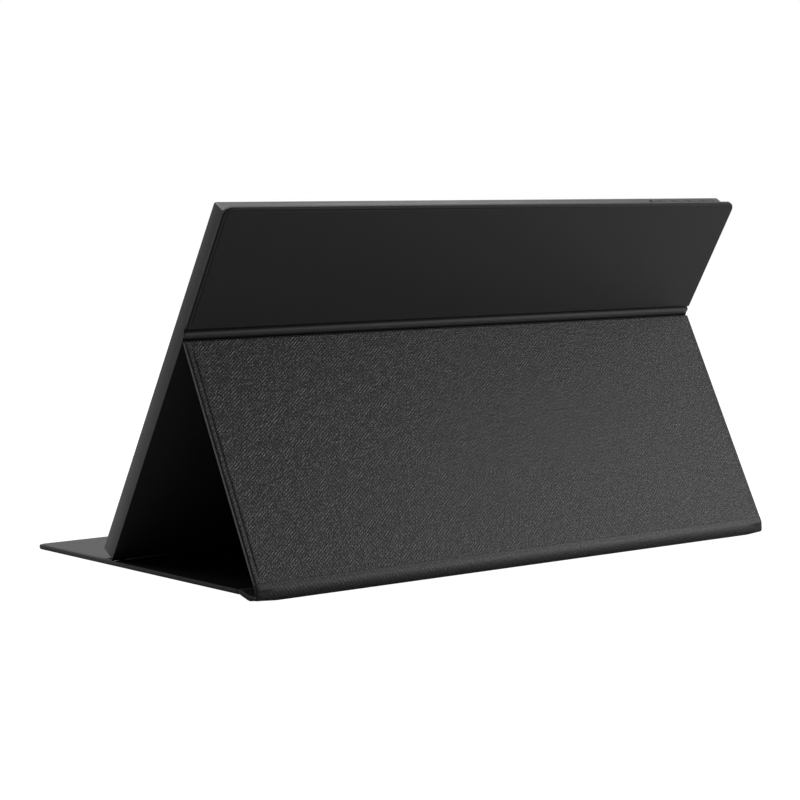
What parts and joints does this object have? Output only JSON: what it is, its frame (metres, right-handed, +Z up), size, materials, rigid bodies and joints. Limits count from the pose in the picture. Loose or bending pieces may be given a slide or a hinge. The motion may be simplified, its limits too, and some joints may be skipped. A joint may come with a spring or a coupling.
{
  "type": "portable monitor with folio cover",
  "caption": "Slim portable display standing on a folio cover that folds behind it into a tent stand.",
  "frame": {"origin": "middle of the footprint, on the table", "axes": "+X along the width, +Y from the screen side to the stand side, +Z up"},
  "size_m": [0.36, 0.222, 0.1961],
  "materials": {
    "housing_grey": "satin dark grey anodised",
    "bezel_black": "fine matte",
    "foam_black": "matte foam",
    "screen_glass": "anti-glare coated",
    "film_white": "translucent matte",
    "guide_clear": "clear polished",
    "reflector_white": "white satin",
    "lamp_strip": "lamp strip",
    "tray_steel": "pressed sheet",
    "board_green": "solder mask",
    "chip_black": "matte moulded",
    "screw_steel": "plated",
    "port_steel": "bright sheet",
    "jack_black": "moulded",
    "ribbon_amber": "film",
    "speaker_black": "moulded",
    "lead_red": "insulated wire",
    "switch_steel": "stamped",
    "key_strip_black": "fine matte",
    "key_black": "satin",
    "catch_steel": "plain sheet",
    "skin_smooth": "fine smooth grained synthetic leather",
    "skin_crosshatch": "fine diagonal cross-hatch synthetic leather",
    "skin_fold": "smooth synthetic leather",
    "cover_board": "stiff board",
    "lining_grey": "short brushed microfibre",
    "magnet_nickel": "nickel plated",
    "grip_rubber": "matte silicone"
  },
  "bodies": {
    "display": {"rear_housing": "housing_grey", "front_bezel": "bezel_black", "bezel_gasket": "foam_black", "screen_glass": "screen_glass", "diffuser_films": "film_white", "light_guide": "guide_clear", "reflector_sheet": "reflector_white", "lamp_strip": "lamp_strip", "backlight_tray": "tray_steel", "driver_board": "board_green", "board_chips": "chip_black", "board_screws": "screw_steel", "power_port": "port_steel", "data_port": "port_steel", "video_port": "port_steel", "headphone_jack": "jack_black", "panel_board": "board_green", "display_ribbon": "ribbon_amber", "speaker_left": "speaker_black", "speaker_right": "speaker_black", "speaker_leads": "lead_red", "key_board": "board_green", "key_switches": "switch_steel", "key_ribbon": "ribbon_amber", "key_strip": "key_strip_black", "catch_plates": "catch_steel", "upper_skin": "skin_smooth", "upper_board": "cover_board", "upper_lining": "lining_grey", "upper_magnets": "magnet_nickel", "crease_strip": "skin_fold"},
    "stand_panel": {"stand_skin": "skin_crosshatch", "stand_board": "cover_board", "stand_lining": "lining_grey"},
    "spine": {"spine_skin": "skin_fold", "spine_board": "cover_board", "spine_lining": "lining_grey"},
    "front_flap": {"flap_skin": "skin_smooth", "flap_board": "cover_board", "flap_lining": "lining_grey", "flap_magnets": "magnet_nickel", "grip_strip": "grip_rubber"},
    "power_key": {"power_key": "key_black"},
    "menu_key": {"menu_key": "key_black"},
    "level_rocker": {"level_rocker": "key_black"}
  },
  "joints": [
    {"name": "stand_fold", "type": "hinge", "parent": "display", "child": "stand_panel", "pos_m": [0, 0.04559, 0.12729], "axis": [-1, 0, 0], "range_deg": [0, 57.4]},
    {"name": "spine_fold", "type": "hinge", "parent": "stand_panel", "child": "spine", "pos_m": [0, 0.10871, 0.0023], "axis": [1, 0, 0], "range_deg": [0, 104]},
    {"name": "flap_fold", "type": "hinge", "parent": "spine", "child": "front_flap", "pos_m": [0, 0.09301, 0.002], "axis": [1, 0, 0], "range_deg": [0, 118]},
    {"name": "power_press", "type": "slide", "parent": "display", "child": "power_key", "axis": [0, -0.5122, -0.8588], "range_m": [0, 0.0005], "stiffness_N_per_m": 400, "springref_m": -0.001},
    {"name": "menu_press", "type": "slide", "parent": "display", "child": "menu_key", "axis": [0, -0.5122, -0.8588], "range_m": [0, 0.0005], "stiffness_N_per_m": 400, "springref_m": -0.001},
    {"name": "rocker_tilt", "type": "hinge", "parent": "display", "child": "level_rocker", "pos_m": [-0.137, 0.0735, 0.19145], "axis": [0, -0.8588, 0.5122], "range_deg": [-1.3, 1.3], "stiffness_Nm_per_rad": 0.05}
  ],
  "couplings": [
    {"joint": "spine_fold", "follows": "stand_fold", "ratio": 1.8}
  ]
}
